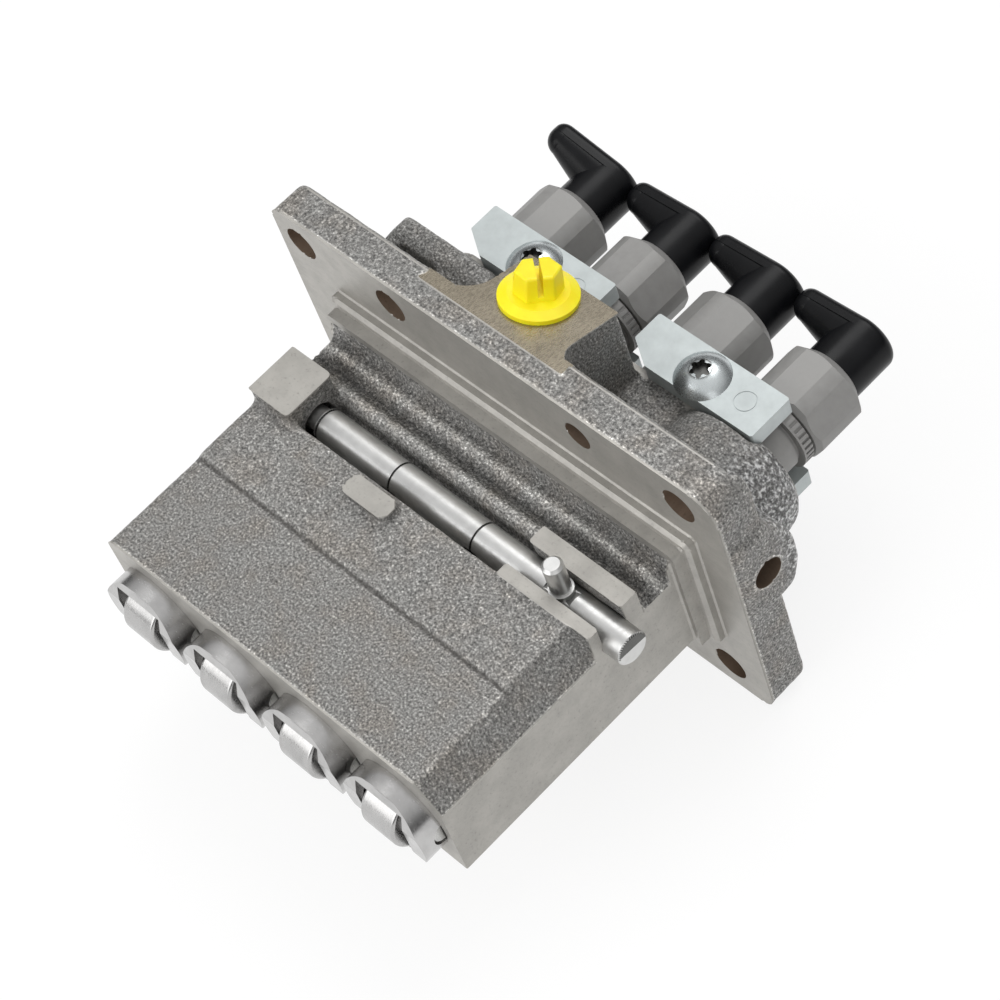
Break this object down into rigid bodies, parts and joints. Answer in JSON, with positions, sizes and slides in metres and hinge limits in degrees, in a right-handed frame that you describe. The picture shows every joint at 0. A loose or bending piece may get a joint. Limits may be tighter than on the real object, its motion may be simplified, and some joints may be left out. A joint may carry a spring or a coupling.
{
  "type": "diesel injection pump",
  "caption": "In-line diesel injection pump for flange mounting, with roller tappets, a control rack and capped delivery outlets.",
  "frame": {"origin": "middle of the row of elements, on the flange face that seats on the engine", "axes": "+X along the row towards the rack's pin end, +Y along the plungers towards the outlets, +Z towards the rack and fuel inlet"},
  "size_m": [0.148, 0.1667, 0.0919],
  "materials": {
    "cast_iron": "sand-cast skin with machined faces",
    "tappet_steel": "ground and polished",
    "ground_steel": "ground",
    "spring_steel": "oiled wire",
    "phosphated_steel": "grey phosphate",
    "zinc_plate": "satin zinc plating",
    "bright_zinc": "bright zinc plating",
    "black_rubber": "satin moulded rubber",
    "yellow_plastic": "moulded polyethylene",
    "copper": "annealed copper"
  },
  "bodies": {
    "pump_body": {"pump_housing": "cast_iron", "inlet_plug": "yellow_plastic", "lock_plate_left": "zinc_plate", "lock_plate_right": "zinc_plate", "rear_lock_plate_left": "zinc_plate", "rear_lock_plate_right": "zinc_plate", "lock_plate_screws": "bright_zinc", "holder_o_rings": "black_rubber", "plunger_barrels": "ground_steel", "delivery_valve_seats": "ground_steel", "seat_washers": "copper", "upper_spring_seats": "ground_steel", "tappet_guide_pins": "ground_steel", "delivery_valve_holder_1": "phosphated_steel", "delivery_valve_holder_2": "phosphated_steel", "delivery_valve_holder_3": "phosphated_steel", "delivery_valve_holder_4": "phosphated_steel", "dust_cap_1": "black_rubber", "dust_cap_2": "black_rubber", "dust_cap_3": "black_rubber", "dust_cap_4": "black_rubber", "plunger_spring_1": "spring_steel", "plunger_spring_2": "spring_steel", "plunger_spring_3": "spring_steel", "plunger_spring_4": "spring_steel", "valve_spring_1": "spring_steel", "valve_spring_2": "spring_steel", "valve_spring_3": "spring_steel", "valve_spring_4": "spring_steel"},
    "rack": {"control_rack": "ground_steel", "rack_pin": "ground_steel"},
    "sleeve_1": {"control_sleeve_1": "ground_steel"},
    "tappet_unit_1": {"tappet_1": "tappet_steel", "roller_pin_1": "ground_steel", "lower_spring_seat_1": "ground_steel"},
    "roller_unit_1": {"roller_1": "tappet_steel"},
    "plunger_unit_1": {"plunger_1": "ground_steel"},
    "valve_unit_1": {"delivery_valve_1": "ground_steel"},
    "sleeve_2": {"control_sleeve_2": "ground_steel"},
    "tappet_unit_2": {"tappet_2": "tappet_steel", "roller_pin_2": "ground_steel", "lower_spring_seat_2": "ground_steel"},
    "roller_unit_2": {"roller_2": "tappet_steel"},
    "plunger_unit_2": {"plunger_2": "ground_steel"},
    "valve_unit_2": {"delivery_valve_2": "ground_steel"},
    "sleeve_3": {"control_sleeve_3": "ground_steel"},
    "tappet_unit_3": {"tappet_3": "tappet_steel", "roller_pin_3": "ground_steel", "lower_spring_seat_3": "ground_steel"},
    "roller_unit_3": {"roller_3": "tappet_steel"},
    "plunger_unit_3": {"plunger_3": "ground_steel"},
    "valve_unit_3": {"delivery_valve_3": "ground_steel"},
    "sleeve_4": {"control_sleeve_4": "ground_steel"},
    "tappet_unit_4": {"tappet_4": "tappet_steel", "roller_pin_4": "ground_steel", "lower_spring_seat_4": "ground_steel"},
    "roller_unit_4": {"roller_4": "tappet_steel"},
    "plunger_unit_4": {"plunger_4": "ground_steel"},
    "valve_unit_4": {"delivery_valve_4": "ground_steel"}
  },
  "joints": [
    {"name": "rack_slide", "type": "slide", "parent": "pump_body", "child": "rack", "axis": [1, 0, 0], "range_m": [-0.0045, 0.0045]},
    {"name": "tappet_lift_1", "type": "slide", "parent": "pump_body", "child": "tappet_unit_1", "axis": [0, 1, 0], "range_m": [0, 0.0075], "stiffness_N_per_m": 6000, "springref_m": -0.004, "deforming": ["plunger_spring_1"]},
    {"name": "roller_spin_1", "type": "hinge", "parent": "tappet_unit_1", "child": "roller_unit_1", "pos_m": [-0.042, -0.0823, 0], "axis": [1, 0, 0], "continuous": true},
    {"name": "sleeve_turn_1", "type": "hinge", "parent": "pump_body", "child": "sleeve_1", "pos_m": [-0.042, 0, 0], "axis": [0, 1, 0], "range_deg": [-27, 27]},
    {"name": "plunger_lift_1", "type": "slide", "parent": "sleeve_1", "child": "plunger_unit_1", "axis": [0, 1, 0], "range_m": [0, 0.0075]},
    {"name": "valve_lift_1", "type": "slide", "parent": "pump_body", "child": "valve_unit_1", "axis": [0, 1, 0], "range_m": [0, 0.0015], "stiffness_N_per_m": 120, "springref_m": -0.004, "deforming": ["valve_spring_1"]},
    {"name": "tappet_lift_2", "type": "slide", "parent": "pump_body", "child": "tappet_unit_2", "axis": [0, 1, 0], "range_m": [0, 0.0075], "stiffness_N_per_m": 6000, "springref_m": -0.004, "deforming": ["plunger_spring_2"]},
    {"name": "roller_spin_2", "type": "hinge", "parent": "tappet_unit_2", "child": "roller_unit_2", "pos_m": [-0.014, -0.0823, 0], "axis": [1, 0, 0], "continuous": true},
    {"name": "sleeve_turn_2", "type": "hinge", "parent": "pump_body", "child": "sleeve_2", "pos_m": [-0.014, 0, 0], "axis": [0, 1, 0], "range_deg": [-27, 27]},
    {"name": "plunger_lift_2", "type": "slide", "parent": "sleeve_2", "child": "plunger_unit_2", "axis": [0, 1, 0], "range_m": [0, 0.0075]},
    {"name": "valve_lift_2", "type": "slide", "parent": "pump_body", "child": "valve_unit_2", "axis": [0, 1, 0], "range_m": [0, 0.0015], "stiffness_N_per_m": 120, "springref_m": -0.004, "deforming": ["valve_spring_2"]},
    {"name": "tappet_lift_3", "type": "slide", "parent": "pump_body", "child": "tappet_unit_3", "axis": [0, 1, 0], "range_m": [0, 0.0075], "stiffness_N_per_m": 6000, "springref_m": -0.004, "deforming": ["plunger_spring_3"]},
    {"name": "roller_spin_3", "type": "hinge", "parent": "tappet_unit_3", "child": "roller_unit_3", "pos_m": [0.014, -0.0823, 0], "axis": [1, 0, 0], "continuous": true},
    {"name": "sleeve_turn_3", "type": "hinge", "parent": "pump_body", "child": "sleeve_3", "pos_m": [0.014, 0, 0], "axis": [0, 1, 0], "range_deg": [-27, 27]},
    {"name": "plunger_lift_3", "type": "slide", "parent": "sleeve_3", "child": "plunger_unit_3", "axis": [0, 1, 0], "range_m": [0, 0.0075]},
    {"name": "valve_lift_3", "type": "slide", "parent": "pump_body", "child": "valve_unit_3", "axis": [0, 1, 0], "range_m": [0, 0.0015], "stiffness_N_per_m": 120, "springref_m": -0.004, "deforming": ["valve_spring_3"]},
    {"name": "tappet_lift_4", "type": "slide", "parent": "pump_body", "child": "tappet_unit_4", "axis": [0, 1, 0], "range_m": [0, 0.0075], "stiffness_N_per_m": 6000, "springref_m": -0.004, "deforming": ["plunger_spring_4"]},
    {"name": "roller_spin_4", "type": "hinge", "parent": "tappet_unit_4", "child": "roller_unit_4", "pos_m": [0.042, -0.0823, 0], "axis": [1, 0, 0], "continuous": true},
    {"name": "sleeve_turn_4", "type": "hinge", "parent": "pump_body", "child": "sleeve_4", "pos_m": [0.042, 0, 0], "axis": [0, 1, 0], "range_deg": [-27, 27]},
    {"name": "plunger_lift_4", "type": "slide", "parent": "sleeve_4", "child": "plunger_unit_4", "axis": [0, 1, 0], "range_m": [0, 0.0075]},
    {"name": "valve_lift_4", "type": "slide", "parent": "pump_body", "child": "valve_unit_4", "axis": [0, 1, 0], "range_m": [0, 0.0015], "stiffness_N_per_m": 120, "springref_m": -0.004, "deforming": ["valve_spring_4"]}
  ],
  "couplings": [
    {"joint": "sleeve_turn_1", "follows": "rack_slide", "rad_per_m": 104.17},
    {"joint": "plunger_lift_1", "follows": "tappet_lift_1", "ratio": 1},
    {"joint": "sleeve_turn_2", "follows": "rack_slide", "rad_per_m": 104.17},
    {"joint": "plunger_lift_2", "follows": "tappet_lift_2", "ratio": 1},
    {"joint": "sleeve_turn_3", "follows": "rack_slide", "rad_per_m": 104.17},
    {"joint": "plunger_lift_3", "follows": "tappet_lift_3", "ratio": 1},
    {"joint": "sleeve_turn_4", "follows": "rack_slide", "rad_per_m": 104.17},
    {"joint": "plunger_lift_4", "follows": "tappet_lift_4", "ratio": 1}
  ]
}
